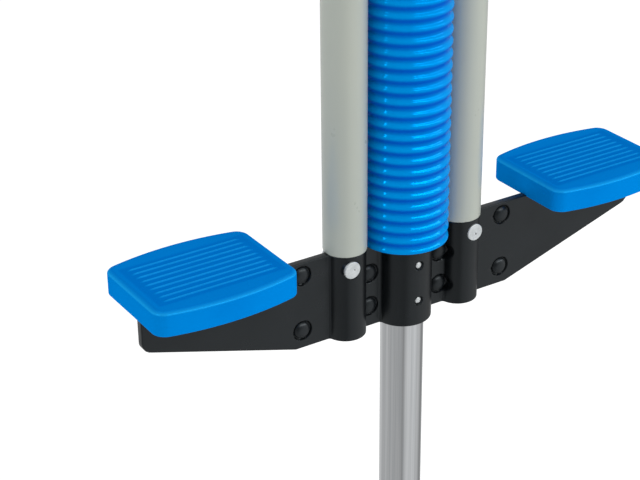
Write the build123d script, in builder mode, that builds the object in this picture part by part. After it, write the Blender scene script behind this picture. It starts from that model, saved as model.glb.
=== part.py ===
"""Pogo stick: a twin-tube frame that slides on a sprung shaft.

Millimetres, +Z up. The origin is on the ground, under the middle of the rubber foot. +X runs along
the pedals and the handlebar, and the rider stands behind, at +Y.
"""
from build123d import *
import os

os.makedirs("parts", exist_ok=True)

# ---------------------------------------------------------------- driving dimensions
running_clearance = 0.05  # radial, between the shaft and its bushes
snug = 0.02  # radial, between pieces that are clamped, pressed or riveted together
stop_gap = 0.35  # between two bodies that rest on each other

# side tubes and handlebar
tube_radius = 11.1
tube_wall = 1.3
tube_spacing = 70.0  # centre to centre
tube_x = tube_spacing / 2
neck_radius = 8.5  # the swaged lower end that the lower bracket clamps
neck_wall = 1.3
handlebar_height = 915.0
handlebar_bend_radius = 38.0
handlebar_half_width = 170.0

# lower bracket
bracket_top = 315.0
bracket_height = 47.2
bracket_bottom = bracket_top - bracket_height
sheet = 2.1  # thickness of the pressed steel
clamp_radius = neck_radius + snug + sheet
collar_bore = 12.9
collar_radius = collar_bore + sheet
bend_radius = 1.6
saddle_half_width = 23.6  # the middle of the top edge, which the spring sleeve stands on
saddle_depth = 2.0
wing_end = 149.1
wing_corner_x = 65.4
wing_end_height = 21.5  # height of the wing's end edge
wing_corner_radius = 5.5
flange_reach = 15.0  # how far the top edge is bent out under a pedal
flange_start = 86.0
flange_end = 144.0

# rivets
rivet_shank = 2.4
dome_radius = 4.6
dome_height = 2.4
dome_rim_share = 0.2  # the straight rim under the dome, as a share of the head
dimple_radius = 5.2
dimple_depth = 1.2
land_rivet_x = 21.6
land_rivet_drops = (17.2, 35.8)
wing_rivet_x = 61.5
wing_rivet_drops = (6.9, 37.4)
flat_head_radius = 4.5
flat_head_height = 1.0
flat_seat_y = 10.0  # distance of the flat-headed rivet's seat from the middle plane
tube_rivet_offset = 2.5  # outward from the tube's axis
tube_rivet_drop = 7.0
bush_pin_radius = 1.8
bush_pin_hole = 2.3
bush_pin_drops = (13.7, 33.6)
bush_pin_inner = 11.8
bush_pin_outer = 14.6

# pedals
pedal_inner = 77.3
pedal_outer = 153.1
pedal_corner_half_width = 26.7
pedal_bow = 5.2
pedal_corner_radius = 7.2
pedal_top = bracket_top + 11.4
pedal_bottom = bracket_top - 0.8
pedal_edge_radius = 1.6
pedal_wall = 3.2
pedal_skin = 4.0
tread_ribs = 9
tread_pitch = 4.43
tread_start = 84.6
tread_end = 145.0
tread_rib_width = 1.3
tread_rib_height = 0.5
screw_inset_x = 14.0
screw_y = 9.5
boss_radius = 4.5
screw_radius = 2.0
screw_head_radius = 4.0
screw_head_height = 2.6
screw_length = 9.0

# upper bracket
upper_bracket_height = 34.0
upper_bend_radius = 1.0
upper_ear_end = 57.5
upper_ear_rivet_x = 53.4
upper_land_rivet_x = 18.5
upper_rivet_drops = (8.5, 25.5)
upper_rivet_shank = 1.6
upper_dome_radius = 2.7
upper_dome_height = 1.7
upper_flat_seat_y = 12.4

# spring sleeve
sleeve_radius = 22.8
sleeve_groove_depth = 1.1
sleeve_pitch = 6.1
sleeve_ribs = 59
sleeve_bore = 20.2

# shaft and what is on it
shaft_radius = 11.2
shaft_wall = 1.5
shaft_bottom = 14.0
shaft_top_stub = 22.0  # how far the shaft stands out above the upper bush
plug_length = 15.0
cap_height = 5.0
collar_ring_radius = 16.5
collar_ring_height = 12.0
collar_ring_chamfer = 1.0
cross_pin_radius = 2.5
seat_washer_radius = 18.5
seat_washer_height = 2.5
bumper_height = 7.0
bumper_radius = 17.5
bumper_free_play = 0.5  # radial, between the bumper and the shaft
bush_flange_height = 3.0

# main spring
spring_wire = 4.6
spring_coil_radius = 14.6
spring_active_turns = 28

# rubber foot
foot_height = 46.0
foot_radius = 23.0
foot_neck_radius = 15.5
foot_plate_height = 2.5
foot_groove_inner = 12.0
foot_groove_width = 3.0
foot_groove_depth = 2.0
foot_tread_height = 9.0
foot_shoulder_height = 30.0

# grips
grip_radius = 16.0
grip_length = 95.0
grip_bore = tube_radius + snug
end_cap_radius = 12.6
end_cap_thickness = 3.0


def finish(block, name):
    """Label a finished piece and write it as parts/NAME.step."""
    block.part.label = name
    export_step(block.part, f"parts/{name}.step")


# ---------------------------------------------------------------- heights that follow
sleeve_bottom = bracket_top - saddle_depth
sleeve_top = sleeve_bottom + sleeve_ribs * sleeve_pitch
upper_bracket_bottom = sleeve_top
upper_bracket_top = upper_bracket_bottom + upper_bracket_height
shaft_top = upper_bracket_top + shaft_top_stub
lower_flange_top = sleeve_bottom + bush_flange_height
upper_flange_bottom = sleeve_top - bush_flange_height
collar_ring_bottom = lower_flange_top + bumper_height + stop_gap
collar_ring_top = collar_ring_bottom + collar_ring_height
seat_washer_bottom = collar_ring_top + stop_gap
seat_washer_top = seat_washer_bottom + seat_washer_height
upper_washer_bottom = upper_flange_bottom - seat_washer_height
grip_inner = handlebar_half_width - grip_length


# ---------------------------------------------------------------- side tubes
def make_side_tube(side):
    """One tube: swaged neck in the lower bracket, straight leg, bend, and handlebar arm."""
    axis_x = side * tube_x
    neck_top = bracket_top + tube_wall
    bore = tube_radius - tube_wall
    with BuildPart() as tube:
        with BuildSketch(Plane.XY.offset(neck_top)):
            with Locations((axis_x, 0)):
                Circle(tube_radius)
                Circle(bore, mode=Mode.SUBTRACT)
        with BuildLine(Plane.XZ) as run:
            FilletPolyline(
                (axis_x, neck_top),
                (axis_x, handlebar_height),
                (side * handlebar_half_width, handlebar_height),
                radius=handlebar_bend_radius,
            )
        sweep(path=run.line)
        with BuildSketch(Plane.XY.offset(bracket_top)):
            with Locations((axis_x, 0)):
                Circle(tube_radius)
                Circle(neck_radius - neck_wall, mode=Mode.SUBTRACT)
        extrude(amount=tube_wall)
        with BuildSketch(Plane.XY.offset(bracket_bottom)):
            with Locations((axis_x, 0)):
                Circle(neck_radius)
                Circle(neck_radius - neck_wall, mode=Mode.SUBTRACT)
        extrude(amount=bracket_height)
        rivet_x = axis_x + side * tube_rivet_offset
        with BuildSketch(Plane.XZ.offset(-tube_radius)):
            with Locations((rivet_x, bracket_top - tube_rivet_drop)):
                Circle(rivet_shank + snug)
        extrude(amount=2 * tube_radius, mode=Mode.SUBTRACT)
        middle = (upper_bracket_bottom + upper_bracket_top) / 2
        with BuildSketch(Plane.XZ.offset(-tube_radius)):
            with Locations((axis_x, middle)):
                Circle(rivet_shank + snug)
        extrude(amount=2 * tube_radius, mode=Mode.SUBTRACT)
    return tube


left_side_tube = make_side_tube(-1)
right_side_tube = make_side_tube(1)
finish(left_side_tube, "left_side_tube")
finish(right_side_tube, "right_side_tube")


# ---------------------------------------------------------------- pressed brackets
def bulge_outline(tube_bulge, half_width):
    """Outer outline of a front plate seen from above: a strip with three half-round bulges."""
    Rectangle(2 * half_width, sheet, align=(Align.CENTER, Align.MAX))
    with Locations((-tube_x, 0), (tube_x, 0)):
        Circle(tube_bulge)
    Circle(collar_radius)
    with Locations((0, 0)):
        Rectangle(4 * half_width, 4 * tube_bulge, align=(Align.CENTER, Align.MIN), mode=Mode.SUBTRACT)


def soften_bends(sketch, radius):
    """Round the inside corners where the bulges leave the flat of the sheet."""
    corners = [
        v
        for v in sketch.vertices()
        if abs(v.Y + sheet) < 1e-4 and abs(v.X) < tube_x + 2 * tube_radius
    ]
    fillet(corners, radius=radius)


with BuildPart() as lower_front:
    with BuildSketch(Plane.XY.offset(bracket_bottom)) as lower_plan:
        bulge_outline(clamp_radius, wing_end)
        soften_bends(lower_plan, bend_radius)
    extrude(amount=bracket_height)
    # flat seats for the flat-headed tube rivets
    tube_rivet_places = [
        (side * (tube_x + tube_rivet_offset), bracket_top - tube_rivet_drop) for side in (-1, 1)
    ]
    with BuildSketch(Plane.XZ.offset(neck_radius)):
        with Locations(*tube_rivet_places):
            Circle(flat_head_radius + snug)
    extrude(amount=flat_seat_y - neck_radius)
    with BuildSketch(Plane.XZ.offset(flat_seat_y)):
        with Locations(*tube_rivet_places):
            Circle(flat_head_radius + snug)
    extrude(amount=sheet, mode=Mode.SUBTRACT)
    # saddle for the sleeve
    with BuildSketch(Plane.XY.offset(bracket_top - saddle_depth)):
        Rectangle(2 * saddle_half_width, 4 * tube_radius)
    extrude(amount=saddle_depth, mode=Mode.SUBTRACT)
    # slanted lower edge of each wing
    with BuildSketch(Plane.XZ.offset(-tube_spacing)):
        for side in (-1, 1):
            with BuildLine():
                Polyline(
                    (side * wing_corner_x, bracket_bottom),
                    (side * wing_end, bracket_top - wing_end_height),
                    (side * 2 * wing_end, bracket_top - wing_end_height),
                    (side * 2 * wing_end, bracket_bottom - sheet),
                    (side * wing_corner_x, bracket_bottom - sheet),
                    close=True,
                )
            make_face()
    extrude(amount=2 * tube_spacing, mode=Mode.SUBTRACT)
    wing_tips = [
        e
        for e in lower_front.edges().filter_by(Axis.Y)
        if abs(abs(e.center().X) - wing_end) < 1e-3
        and abs(e.center().Z - bracket_top + wing_end_height) < 1e-3
    ]
    fillet(wing_tips, radius=wing_corner_radius)
    # flange bent out under each pedal
    with BuildSketch(Plane.XY.offset(bracket_top - sheet)):
        for side in (-1, 1):
            with Locations((side * (flange_start + flange_end) / 2, -sheet)):
                Rectangle(flange_end - flange_start, flange_reach, align=(Align.CENTER, Align.MAX))
    extrude(amount=sheet)
    flange_roots = [
        e
        for e in lower_front.edges().filter_by(Axis.X)
        if abs(e.center().Y + sheet) < 1e-3 and abs(e.center().Z - bracket_top + sheet) < 1e-3
    ]
    fillet(flange_roots, radius=sheet)
    # bores of the clamps and of the collar
    with BuildSketch(Plane.XY.offset(bracket_bottom - 1)):
        with Locations((-tube_x, 0), (tube_x, 0)):
            Circle(neck_radius + snug)
        Circle(collar_bore)
    extrude(amount=bracket_height + 2, mode=Mode.SUBTRACT)
    # dimples and holes of the domed rivets
    dome_rivet_places = [
        (side * x, bracket_top - drop)
        for x, drops in ((land_rivet_x, land_rivet_drops), (wing_rivet_x, wing_rivet_drops))
        for drop in drops
        for side in (-1, 1)
    ]
    with BuildSketch(Plane.XZ.offset(sheet - dimple_depth)):
        with Locations(*dome_rivet_places):
            Circle(dimple_radius)
    extrude(amount=clamp_radius, mode=Mode.SUBTRACT)
    with BuildSketch(Plane.XZ):
        with Locations(*dome_rivet_places, *tube_rivet_places):
            Circle(rivet_shank + snug)
    extrude(amount=collar_radius, mode=Mode.SUBTRACT)
    # pin holes in the collar
    with BuildSketch(Plane.XZ):
        with Locations(*[(0, bracket_top - drop) for drop in bush_pin_drops]):
            Circle(bush_pin_hole)
    extrude(amount=collar_radius, mode=Mode.SUBTRACT)
    # screw holes in the flanges
    pedal_middle = (pedal_inner + pedal_outer) / 2
    screw_places = [
        (side * (pedal_middle + end * screw_inset_x), -screw_y) for side in (-1, 1) for end in (-1, 1)
    ]
    with BuildSketch(Plane.XY.offset(bracket_top - 2 * sheet)):
        with Locations(*screw_places):
            Circle(screw_radius + snug)
    extrude(amount=3 * sheet, mode=Mode.SUBTRACT)

with BuildPart() as lower_rear:
    mirror(lower_front.part, about=Plane.XZ)

finish(lower_front, "lower_bracket_front")
finish(lower_rear, "lower_bracket_rear")


# ---------------------------------------------------------------- upper bracket
upper_clamp_bore = tube_radius + snug
upper_middle = (upper_bracket_bottom + upper_bracket_top) / 2
upper_tube_rivet_places = [(side * tube_x, upper_middle) for side in (-1, 1)]
upper_rivet_places = [
    (side * x, upper_bracket_top - drop)
    for x in (upper_land_rivet_x, upper_ear_rivet_x)
    for drop in upper_rivet_drops
    for side in (-1, 1)
]
upper_pin_places = [(0, upper_bracket_top - drop) for drop in upper_rivet_drops]

with BuildPart() as upper_front:
    with BuildSketch(Plane.XY.offset(upper_bracket_bottom)) as upper_plan:
        bulge_outline(upper_clamp_bore + sheet, upper_ear_end)
        soften_bends(upper_plan, upper_bend_radius)
    extrude(amount=upper_bracket_height)
    with BuildSketch(Plane.XZ.offset(upper_flat_seat_y)):
        with Locations(*upper_tube_rivet_places):
            Circle(flat_head_radius + snug)
    extrude(amount=sheet, mode=Mode.SUBTRACT)
    with BuildSketch(Plane.XY.offset(upper_bracket_bottom)):
        with Locations((-tube_x, 0), (tube_x, 0)):
            Circle(upper_clamp_bore)
        Circle(collar_bore)
    extrude(amount=upper_bracket_height, mode=Mode.SUBTRACT)
    with BuildSketch(Plane.XZ):
        with Locations(*upper_tube_rivet_places):
            Circle(rivet_shank + snug)
        with Locations(*upper_rivet_places):
            Circle(upper_rivet_shank + snug)
        with Locations(*upper_pin_places):
            Circle(bush_pin_hole)
    extrude(amount=collar_radius, mode=Mode.SUBTRACT)

with BuildPart() as upper_rear:
    mirror(upper_front.part, about=Plane.XZ)

finish(upper_front, "upper_bracket_front")
finish(upper_rear, "upper_bracket_rear")


# ---------------------------------------------------------------- rivets and pins
def make_domed_rivet(shank, head_radius, head_height, grip):
    """A rivet along Y with a domed head at each end; grip is half the stack that it holds."""
    rim = dome_rim_share * head_height
    crown = head_height - rim
    dome = (head_radius**2 + crown**2) / (2 * crown)
    with BuildPart() as rivet:
        with BuildSketch():
            with BuildLine():
                Line((0, 0), (0, -grip - head_height))
                RadiusArc((0, -grip - head_height), (head_radius, -grip - rim), dome)
                Polyline(
                    (head_radius, -grip - rim),
                    (head_radius, -grip),
                    (shank, -grip),
                    (shank, 0),
                    (0, 0),
                )
            make_face()
        revolve(axis=Axis.Y)
        mirror(about=Plane.XZ)
    return rivet.part


def make_flat_rivet(seat_y):
    """A rivet along Y with a thin flat head at each end, each seated at seat_y from the middle."""
    with BuildPart() as rivet:
        with BuildSketch(Plane.XZ.offset(-seat_y)):
            Circle(rivet_shank)
        extrude(amount=2 * seat_y)
        with BuildSketch(Plane.XZ.offset(seat_y), Plane.XZ.offset(-seat_y - flat_head_height)):
            Circle(flat_head_radius)
        extrude(amount=flat_head_height)
        rims = rivet.edges().filter_by(GeomType.CIRCLE).sort_by(Axis.Y)
        fillet([rims[0], rims[-1]], radius=flat_head_height / 3)
    return rivet.part


def place_group(piece, places):
    """The same piece at several places on the middle plane, as one group of separate solids."""
    with BuildPart() as group:
        with Locations(*[(x, 0, z) for x, z in places]):
            add(piece)
    return group


def make_bush_pins(drops, top):
    """Short pins, front and back, that lock a guide bush in its collar."""
    with BuildPart() as pins:
        for plane_offset in (bush_pin_inner, -bush_pin_outer):
            with BuildSketch(Plane.XZ.offset(plane_offset)):
                with Locations(*[(0, top - drop) for drop in drops]):
                    Circle(bush_pin_radius)
            extrude(amount=bush_pin_outer - bush_pin_inner)
    return pins


domed_rivet = make_domed_rivet(rivet_shank, dome_radius, dome_height, sheet - dimple_depth)
small_rivet = make_domed_rivet(upper_rivet_shank, upper_dome_radius, upper_dome_height, sheet)
finish(place_group(domed_rivet, dome_rivet_places), "lower_bracket_rivets")
finish(place_group(small_rivet, upper_rivet_places), "upper_bracket_rivets")
finish(place_group(make_flat_rivet(flat_seat_y), tube_rivet_places), "lower_tube_rivets")
finish(place_group(make_flat_rivet(upper_flat_seat_y), upper_tube_rivet_places), "upper_tube_rivets")
finish(make_bush_pins(bush_pin_drops, bracket_top), "lower_bush_pins")
finish(make_bush_pins(upper_rivet_drops, upper_bracket_top), "upper_bush_pins")


# ---------------------------------------------------------------- guide bushes
def make_bush(barrel_bottom, barrel_top, flange_bottom, pin_places):
    """A nylon bush: a barrel in the bracket's collar, and a flange that centres the sleeve."""
    with BuildPart() as bush:
        with BuildSketch(Plane.XY.offset(barrel_bottom)):
            Circle(collar_bore - snug)
        extrude(amount=barrel_top - barrel_bottom)
        with BuildSketch(Plane.XY.offset(flange_bottom)):
            Circle(sleeve_bore - 2 * running_clearance)
        extrude(amount=bush_flange_height)
        with BuildSketch(Plane.XY.offset(bracket_bottom)):
            Circle(shaft_radius + running_clearance)
        extrude(amount=shaft_top, mode=Mode.SUBTRACT)
        for plane_offset in (bush_pin_inner, -bush_pin_outer):
            with BuildSketch(Plane.XZ.offset(plane_offset)):
                with Locations(*pin_places):
                    Circle(bush_pin_radius + snug)
            extrude(amount=bush_pin_outer - bush_pin_inner, mode=Mode.SUBTRACT)
    return bush


lower_pin_places = [(0, bracket_top - drop) for drop in bush_pin_drops]
finish(make_bush(bracket_bottom, sleeve_bottom, sleeve_bottom, lower_pin_places), "lower_guide_bush")
finish(
    make_bush(upper_bracket_bottom, upper_bracket_top, upper_flange_bottom, upper_pin_places),
    "upper_guide_bush",
)


# ---------------------------------------------------------------- pedals
def pedal_outline(side, inset):
    """A pedal seen from above: straight ends, long sides bowed outward, rounded corners."""
    inner = side * (pedal_inner + inset)
    outer = side * (pedal_outer - inset)
    half = pedal_corner_half_width - inset
    middle = (inner + outer) / 2
    with BuildLine() as rim:
        Line((inner, half), (inner, -half))
        ThreePointArc((inner, -half), (middle, -half - pedal_bow), (outer, -half))
        Line((outer, -half), (outer, half))
        ThreePointArc((outer, half), (middle, half + pedal_bow), (inner, half))
    make_face(rim.line)


def make_pedal(side):
    """One moulded pedal: a ribbed top skin, side walls, screw bosses, and a notch for the wing."""
    places = [place for place in screw_places_all if place[0] * side > 0]
    with BuildPart() as pedal:
        with BuildSketch(Plane.XY.offset(pedal_bottom)) as outer_plan:
            pedal_outline(side, 0)
            fillet(outer_plan.vertices(), radius=pedal_corner_radius)
        extrude(amount=pedal_top - pedal_bottom)
        fillet(pedal.faces().sort_by(Axis.Z)[-1].edges(), radius=pedal_edge_radius)
        with BuildSketch(Plane.XY.offset(pedal_bottom)) as hollow_plan:
            pedal_outline(side, pedal_wall)
            fillet(hollow_plan.vertices(), radius=pedal_corner_radius - pedal_wall)
        extrude(amount=pedal_top - pedal_bottom - pedal_skin, mode=Mode.SUBTRACT)
        with BuildSketch(Plane.XY.offset(bracket_top)):
            with Locations(*places):
                Circle(boss_radius)
        extrude(amount=pedal_top - bracket_top - pedal_skin / 2)
        with BuildSketch(Plane.XY.offset(bracket_top)):
            with Locations(*places):
                Circle(screw_radius + snug)
        extrude(amount=screw_length - sheet + snug, mode=Mode.SUBTRACT)
        with BuildSketch(Plane.XY.offset(pedal_bottom)):
            with Locations((side * pedal_inner, 0)):
                Rectangle(3 * pedal_wall, 2 * sheet + 2 * stop_gap)
        extrude(amount=bracket_top - pedal_bottom, mode=Mode.SUBTRACT)
        with BuildSketch(Plane.XY.offset(pedal_top - tread_rib_height)):
            with Locations((side * (tread_start + tread_end) / 2, 0)):
                with GridLocations(0, tread_pitch, 1, tread_ribs):
                    SlotOverall(tread_end - tread_start, tread_rib_width)
        extrude(amount=2 * tread_rib_height)
    return pedal


screw_places_all = [(x, y * mirror_y) for x, y in screw_places for mirror_y in (-1, 1)]
finish(make_pedal(-1), "left_pedal")
finish(make_pedal(1), "right_pedal")

with BuildPart() as pedal_screws:
    with BuildSketch(Plane.XY.offset(bracket_top - sheet - screw_head_height)):
        with Locations(*screw_places_all):
            Circle(screw_head_radius)
    extrude(amount=screw_head_height)
    fillet(pedal_screws.faces().group_by(Axis.Z)[0].edges(), radius=screw_head_height / 2)
    with BuildSketch(Plane.XY.offset(bracket_top - sheet)):
        with Locations(*screw_places_all):
            Circle(screw_radius)
    extrude(amount=screw_length)
finish(pedal_screws, "pedal_screws")


# ---------------------------------------------------------------- spring sleeve
with BuildPart() as sleeve:
    valley = sleeve_radius - sleeve_groove_depth
    with BuildSketch(Plane.XZ):
        with BuildLine():
            for rib in range(sleeve_ribs):
                foot_z = sleeve_bottom + rib * sleeve_pitch
                ThreePointArc(
                    (valley, foot_z),
                    (sleeve_radius, foot_z + sleeve_pitch / 2),
                    (valley, foot_z + sleeve_pitch),
                )
            Polyline(
                (valley, sleeve_top),
                (sleeve_bore, sleeve_top),
                (sleeve_bore, sleeve_bottom),
                (valley, sleeve_bottom),
            )
        make_face()
    revolve(axis=Axis.Z)
finish(sleeve, "spring_sleeve")


# ---------------------------------------------------------------- washers, bumper and spring
def make_ring(bottom, height, outer, bore):
    """A plain ring round the shaft."""
    with BuildPart() as ring:
        with BuildSketch(Plane.XY.offset(bottom)):
            Circle(outer)
            Circle(bore, mode=Mode.SUBTRACT)
        extrude(amount=height)
    return ring


free_bore = shaft_radius + bumper_free_play
finish(make_ring(lower_flange_top, bumper_height, bumper_radius, free_bore), "topout_bumper")
finish(make_ring(seat_washer_bottom, seat_washer_height, seat_washer_radius, free_bore), "spring_seat")
finish(
    make_ring(upper_washer_bottom, seat_washer_height, seat_washer_radius, free_bore),
    "upper_spring_washer",
)

spring_bottom = seat_washer_top + stop_gap
spring_height = upper_washer_bottom - spring_bottom
with BuildPart() as main_spring:
    with BuildLine(Plane.XY.offset(spring_bottom)) as coil:
        Helix(
            pitch=spring_height / spring_active_turns,
            height=spring_height,
            radius=spring_coil_radius,
        )
    with BuildSketch(Plane(origin=coil.line @ 0, z_dir=coil.line % 0)):
        Circle(spring_wire / 2)
    sweep(path=coil.line, is_frenet=True)
    # both ends are ground flat
    for ground_from in (spring_bottom - spring_wire, upper_washer_bottom):
        with BuildSketch(Plane.XY.offset(ground_from)):
            Circle(spring_coil_radius + spring_wire)
        extrude(amount=spring_wire, mode=Mode.SUBTRACT)
finish(main_spring, "main_spring")


# ---------------------------------------------------------------- shaft
cross_pin_height = (collar_ring_bottom + collar_ring_top) / 2


def cut_cross_pin_hole():
    """The hole that the cross pin is driven through, along X."""
    with BuildSketch(Plane.YZ.offset(-collar_ring_radius)) as hole:
        with Locations((0, cross_pin_height)):
            Circle(cross_pin_radius + snug)
    extrude(hole.sketch, amount=2 * collar_ring_radius, mode=Mode.SUBTRACT)


with BuildPart() as shaft_tube:
    with BuildSketch(Plane.XY.offset(shaft_bottom)):
        Circle(shaft_radius)
        Circle(shaft_radius - shaft_wall, mode=Mode.SUBTRACT)
    extrude(amount=shaft_top - shaft_bottom)
    cut_cross_pin_hole()
finish(shaft_tube, "shaft_tube")

with BuildPart() as shaft_collar:
    with BuildSketch(Plane.XY.offset(collar_ring_bottom)):
        Circle(collar_ring_radius)
        Circle(shaft_radius + snug, mode=Mode.SUBTRACT)
    extrude(amount=collar_ring_height)
    cut_cross_pin_hole()
    chamfer(
        shaft_collar.edges().filter_by(GeomType.CIRCLE).group_by(SortBy.RADIUS)[-1],
        length=collar_ring_chamfer,
    )
finish(shaft_collar, "shaft_collar")

with BuildPart() as cross_pin:
    with BuildSketch(Plane.YZ.offset(-collar_ring_radius + stop_gap)):
        with Locations((0, cross_pin_height)):
            Circle(cross_pin_radius)
    extrude(amount=2 * (collar_ring_radius - stop_gap))
finish(cross_pin, "cross_pin")

plug_radius = shaft_radius - shaft_wall - snug
with BuildPart() as shaft_top_cap:
    with BuildSketch(Plane.XY.offset(shaft_top - plug_length)):
        Circle(plug_radius)
    extrude(amount=plug_length)
    with BuildSketch(Plane.XY.offset(shaft_top)):
        Circle(shaft_radius)
    extrude(amount=cap_height)
    fillet(shaft_top_cap.edges().sort_by(Axis.Z)[-1], radius=cap_height / 2)
finish(shaft_top_cap, "shaft_top_cap")


# ---------------------------------------------------------------- rubber foot
with BuildPart() as rubber_foot:
    with BuildSketch(Plane.XZ) as foot_profile:
        with BuildLine():
            Polyline(
                (0, 0),
                (foot_groove_inner, 0),
                (foot_groove_inner, foot_groove_depth),
                (foot_groove_inner + foot_groove_width, foot_groove_depth),
                (foot_groove_inner + foot_groove_width, 0),
                (foot_radius - foot_groove_depth, 0),
                (foot_radius, foot_groove_depth),
                (foot_radius, foot_tread_height),
                (foot_neck_radius, foot_shoulder_height),
                (foot_neck_radius, foot_height),
                (shaft_radius + snug, foot_height),
                (shaft_radius + snug, shaft_bottom - foot_plate_height),
                (0, shaft_bottom - foot_plate_height),
                close=True,
            )
        make_face()
        shoulders = [
            v
            for v in foot_profile.vertices()
            if v.X > foot_neck_radius - snug and foot_tread_height - snug < v.Y
        ]
        fillet(shoulders, radius=foot_groove_depth)
    revolve(axis=Axis.Z)
finish(rubber_foot, "rubber_foot")

with BuildPart() as foot_plate:
    with BuildSketch(Plane.XY.offset(shaft_bottom - foot_plate_height)):
        Circle(shaft_radius)
    extrude(amount=foot_plate_height)
finish(foot_plate, "foot_plate")


# ---------------------------------------------------------------- grips
grip_edge_radius = 3.0
end_plug_radius = tube_radius - tube_wall - snug
for side, side_name in ((-1, "left"), (1, "right")):
    arm_start = Plane(
        origin=(side * grip_inner, 0, handlebar_height), x_dir=(0, 1, 0), z_dir=(side, 0, 0)
    )
    with BuildPart() as grip:
        with BuildSketch(arm_start):
            Circle(grip_radius)
            Circle(grip_bore, mode=Mode.SUBTRACT)
        extrude(amount=grip_length)
        fillet(
            grip.edges().filter_by(GeomType.CIRCLE).group_by(SortBy.RADIUS)[-1],
            radius=grip_edge_radius,
        )
    finish(grip, f"{side_name}_grip")

    with BuildPart() as end_cap:
        with BuildSketch(arm_start.offset(grip_length - plug_length)):
            Circle(end_plug_radius)
        extrude(amount=plug_length)
        with BuildSketch(arm_start.offset(grip_length)):
            Circle(end_cap_radius)
        extrude(amount=end_cap_thickness)
        outermost = end_cap.edges().sort_by(Axis.X)[-1 if side > 0 else 0]
        fillet(outermost, radius=end_cap_thickness / 2)
    finish(end_cap, f"{side_name}_end_cap")
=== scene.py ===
import math

import bmesh
import bpy
import numpy as np
from mathutils import Matrix, Vector


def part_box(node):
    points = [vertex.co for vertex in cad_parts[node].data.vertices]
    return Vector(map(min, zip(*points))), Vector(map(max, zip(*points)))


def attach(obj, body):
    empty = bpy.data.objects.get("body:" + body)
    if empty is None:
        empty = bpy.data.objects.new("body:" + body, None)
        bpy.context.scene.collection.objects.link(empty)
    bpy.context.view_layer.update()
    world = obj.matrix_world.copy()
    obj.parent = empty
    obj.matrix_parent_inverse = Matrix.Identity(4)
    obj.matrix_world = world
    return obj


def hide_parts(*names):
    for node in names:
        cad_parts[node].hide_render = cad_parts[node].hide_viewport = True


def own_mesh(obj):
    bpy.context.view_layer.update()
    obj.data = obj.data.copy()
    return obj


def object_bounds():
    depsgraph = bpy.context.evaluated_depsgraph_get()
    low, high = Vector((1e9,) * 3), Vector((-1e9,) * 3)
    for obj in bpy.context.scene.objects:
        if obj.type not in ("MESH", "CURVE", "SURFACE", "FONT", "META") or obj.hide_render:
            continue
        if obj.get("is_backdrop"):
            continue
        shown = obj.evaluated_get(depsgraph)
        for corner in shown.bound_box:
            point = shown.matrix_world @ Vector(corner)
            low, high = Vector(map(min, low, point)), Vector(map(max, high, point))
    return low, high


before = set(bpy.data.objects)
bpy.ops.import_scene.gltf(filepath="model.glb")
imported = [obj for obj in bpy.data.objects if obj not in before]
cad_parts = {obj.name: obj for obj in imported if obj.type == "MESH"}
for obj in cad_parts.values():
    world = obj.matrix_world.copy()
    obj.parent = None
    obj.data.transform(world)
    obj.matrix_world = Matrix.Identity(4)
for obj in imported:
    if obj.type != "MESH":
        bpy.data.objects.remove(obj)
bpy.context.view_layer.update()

# Pieces are built in millimetres in the CAD frame and scaled once, when their mesh is made.
MM = 0.001
MERGE_DISTANCE, THINNEST_EDGE = 2e-6, 1e-6  # metres
AXIS_RADIUS = 1e-3  # where a turned profile meets its axis
FRAME_BODY, SHAFT_BODY = "frame", "shaft"
SIDES = ((-1, "left"), (1, "right"))
scene = bpy.context.scene


def box_mm(node):
    """Lowest and highest corner of a CAD node, in millimetres."""
    low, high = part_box(node)
    return Vector(low) / MM, Vector(high) / MM


# ---------------------------------------------------------------- mesh helpers
def smooth_step(low, high, value):
    """0 up to low, 1 from high, with a smooth rise between them."""
    t = np.clip((value - low) / (high - low), 0.0, 1.0)
    return t * t * (3.0 - 2.0 * t)


def lattice(rows, columns, close_rows=False, close_columns=False):
    """Quads of a grid of points stored row by row."""
    r = np.arange(rows if close_rows else rows - 1)
    c = np.arange(columns if close_columns else columns - 1)
    r, c = np.meshgrid(r, c, indexing="ij")
    r2, c2 = (r + 1) % rows, (c + 1) % columns
    quads = np.stack([r * columns + c, r * columns + c2, r2 * columns + c2, r2 * columns + c], -1)
    return quads.reshape(-1, 4).tolist()


class Shape:
    """Points and faces gathered from several parts of one piece."""

    def __init__(self):
        self.points = []
        self.faces = []

    def add(self, points, faces):
        start = len(self.points)
        self.points.extend(np.asarray(points, float).reshape(-1, 3).tolist())
        self.faces.extend([[i + start for i in face] for face in faces])

    def add_rings(self, rings, closed=False):
        """Quads between successive rings of equal count; the ends are capped, or joined if closed."""
        rings = np.asarray(rings, float)
        count, size = rings.shape[:2]
        faces = lattice(count, size, close_rows=closed, close_columns=True)
        if not closed:
            faces.append(list(range(size - 1, -1, -1)))
            faces.append([(count - 1) * size + i for i in range(size)])
        self.add(rings.reshape(-1, 3), faces)

    def build(self, name, body, material, slot, replaced, sharp=40.0):
        """The finished piece; edges steeper than sharp, in degrees, stay crisp."""
        mesh = bpy.data.meshes.new(name)
        mesh.from_pydata((np.array(self.points) * MM).tolist(), [], self.faces)
        work = bmesh.new()
        work.from_mesh(mesh)
        bmesh.ops.remove_doubles(work, verts=work.verts, dist=MERGE_DISTANCE)
        bmesh.ops.dissolve_degenerate(work, edges=work.edges, dist=THINNEST_EDGE)
        bmesh.ops.recalc_face_normals(work, faces=work.faces)
        work.to_mesh(mesh)
        work.free()
        mesh.shade_smooth()
        mesh.set_sharp_from_angle(angle=math.radians(sharp))
        piece = bpy.data.objects.new(name, mesh)
        scene.collection.objects.link(piece)
        mesh.materials.append(material)
        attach(piece, body)
        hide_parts(*replaced)
        return piece


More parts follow.
